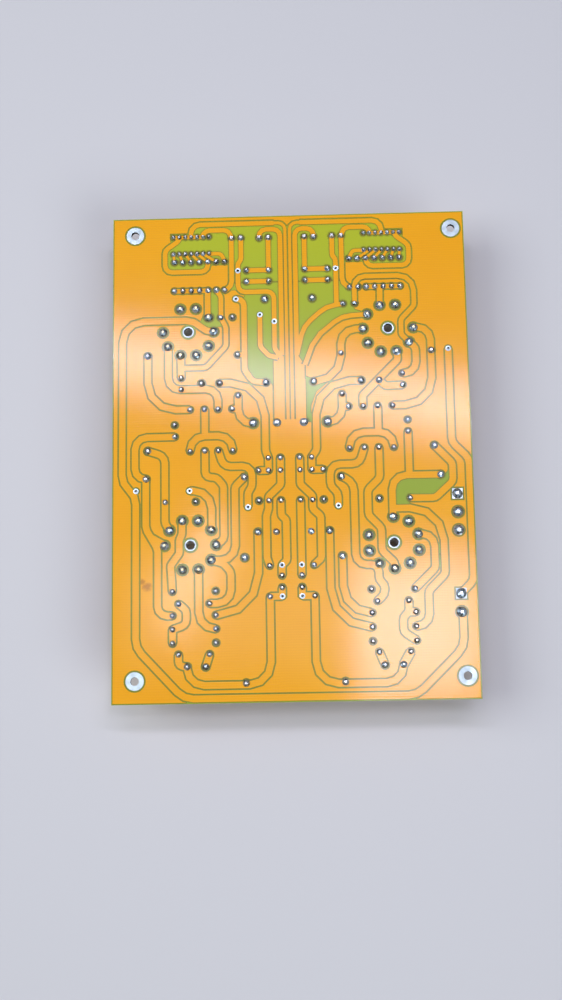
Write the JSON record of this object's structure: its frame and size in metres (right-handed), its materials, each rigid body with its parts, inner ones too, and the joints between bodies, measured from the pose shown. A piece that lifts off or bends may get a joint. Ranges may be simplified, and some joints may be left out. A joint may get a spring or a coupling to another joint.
{
  "type": "phono preamplifier board",
  "caption": "Stereo valve phono preamplifier circuit board, solder side up, its valve sockets, capacitors, resistors, slide switches and headers underneath.",
  "frame": {"origin": "centre of the bounding box at the level the board rests on, which is the lowest point of the standing capacitors and the large tubular capacitors", "axes": "+Z from the component side to the solder side, +Y along the board's long side towards the switches and signal headers, +X towards the power headers as the solder side is seen from above"},
  "size_m": [0.15, 0.207, 0.0283],
  "materials": {
    "board_core": "glass-fibre laminate with a pale cut edge, bare between the tracks",
    "solder_mask": "glossy amber mask over copper, fine weave showing in the shine",
    "tinned_plating": "tinned rings and plated holes",
    "solder": "bright solder joints drawn up round the leads",
    "ceramic": "white glazed ceramic",
    "contact_metal": "plated spring contacts",
    "switch_red": "moulded red housing",
    "slider_white": "moulded white slider",
    "lead_wire": "tinned lead wire and pins",
    "capacitor_sleeve": "shrunk dark sleeve on a metal can",
    "phenolic_base": "dark phenolic end disc",
    "film_wrap": "amber film wrap with resin ends",
    "film_box_red": "moulded red box",
    "film_box_blue": "moulded blue box",
    "resistor_blue": "pale blue coating",
    "resistor_grey": "flame-proof grey-green coating",
    "nylon_white": "off-white nylon"
  },
  "bodies": {
    "board_assembly": {"board": "board_core", "solder_side_copper": "solder_mask", "component_side_copper": "solder_mask", "plated_holes": "tinned_plating", "mounting_rings": "tinned_plating", "socket_eyelets": "tinned_plating", "socket_solder": "solder", "switch_solder": "solder", "connector_solder": "solder", "capacitor_solder": "solder", "resistor_solder": "solder", "tube_socket_1": "ceramic", "tube_socket_2": "ceramic", "tube_socket_3": "ceramic", "tube_socket_4": "ceramic", "socket_contacts_1": "contact_metal", "socket_contacts_2": "contact_metal", "socket_contacts_3": "contact_metal", "socket_contacts_4": "contact_metal", "switch_housing_left": "switch_red", "switch_housing_right": "switch_red", "switch_pins_left": "lead_wire", "switch_pins_right": "lead_wire", "reservoir_capacitor_left": "capacitor_sleeve", "reservoir_capacitor_right": "capacitor_sleeve", "reservoir_bases": "phenolic_base", "reservoir_pins": "lead_wire", "output_capacitor_left": "film_wrap", "output_capacitor_right": "film_wrap", "coupling_capacitor_1": "film_wrap", "coupling_capacitor_2": "film_wrap", "coupling_capacitor_3": "film_wrap", "coupling_capacitor_4": "film_wrap", "filter_capacitor_left": "film_wrap", "filter_capacitor_right": "film_wrap", "axial_capacitor_leads": "lead_wire", "film_capacitors": "film_box_red", "box_capacitors": "film_box_blue", "box_capacitor_leads": "lead_wire", "half_watt_resistors": "resistor_blue", "two_watt_resistors": "resistor_grey", "resistor_leads": "lead_wire", "signal_headers": "nylon_white", "power_headers": "nylon_white", "header_pins": "lead_wire"},
    "slider_left_1_body": {"slider_left_1": "slider_white"},
    "slider_left_2_body": {"slider_left_2": "slider_white"},
    "slider_left_3_body": {"slider_left_3": "slider_white"},
    "slider_left_4_body": {"slider_left_4": "slider_white"},
    "slider_left_5_body": {"slider_left_5": "slider_white"},
    "slider_left_6_body": {"slider_left_6": "slider_white"},
    "slider_left_7_body": {"slider_left_7": "slider_white"},
    "slider_right_1_body": {"slider_right_1": "slider_white"},
    "slider_right_2_body": {"slider_right_2": "slider_white"},
    "slider_right_3_body": {"slider_right_3": "slider_white"},
    "slider_right_4_body": {"slider_right_4": "slider_white"},
    "slider_right_5_body": {"slider_right_5": "slider_white"},
    "slider_right_6_body": {"slider_right_6": "slider_white"},
    "slider_right_7_body": {"slider_right_7": "slider_white"}
  },
  "joints": [
    {"name": "slider_left_1_slide", "type": "slide", "parent": "board_assembly", "child": "slider_left_1_body", "axis": [0, 1, 0], "range_m": [0, 0.0016]},
    {"name": "slider_left_2_slide", "type": "slide", "parent": "board_assembly", "child": "slider_left_2_body", "axis": [0, 1, 0], "range_m": [0, 0.0016]},
    {"name": "slider_left_3_slide", "type": "slide", "parent": "board_assembly", "child": "slider_left_3_body", "axis": [0, 1, 0], "range_m": [0, 0.0016]},
    {"name": "slider_left_4_slide", "type": "slide", "parent": "board_assembly", "child": "slider_left_4_body", "axis": [0, 1, 0], "range_m": [0, 0.0016]},
    {"name": "slider_left_5_slide", "type": "slide", "parent": "board_assembly", "child": "slider_left_5_body", "axis": [0, 1, 0], "range_m": [0, 0.0016]},
    {"name": "slider_left_6_slide", "type": "slide", "parent": "board_assembly", "child": "slider_left_6_body", "axis": [0, 1, 0], "range_m": [0, 0.0016]},
    {"name": "slider_left_7_slide", "type": "slide", "parent": "board_assembly", "child": "slider_left_7_body", "axis": [0, 1, 0], "range_m": [0, 0.0016]},
    {"name": "slider_right_1_slide", "type": "slide", "parent": "board_assembly", "child": "slider_right_1_body", "axis": [0, 1, 0], "range_m": [0, 0.0016]},
    {"name": "slider_right_2_slide", "type": "slide", "parent": "board_assembly", "child": "slider_right_2_body", "axis": [0, 1, 0], "range_m": [0, 0.0016]},
    {"name": "slider_right_3_slide", "type": "slide", "parent": "board_assembly", "child": "slider_right_3_body", "axis": [0, 1, 0], "range_m": [0, 0.0016]},
    {"name": "slider_right_4_slide", "type": "slide", "parent": "board_assembly", "child": "slider_right_4_body", "axis": [0, 1, 0], "range_m": [0, 0.0016]},
    {"name": "slider_right_5_slide", "type": "slide", "parent": "board_assembly", "child": "slider_right_5_body", "axis": [0, 1, 0], "range_m": [0, 0.0016]},
    {"name": "slider_right_6_slide", "type": "slide", "parent": "board_assembly", "child": "slider_right_6_body", "axis": [0, 1, 0], "range_m": [0, 0.0016]},
    {"name": "slider_right_7_slide", "type": "slide", "parent": "board_assembly", "child": "slider_right_7_body", "axis": [0, 1, 0], "range_m": [0, 0.0016]}
  ]
}
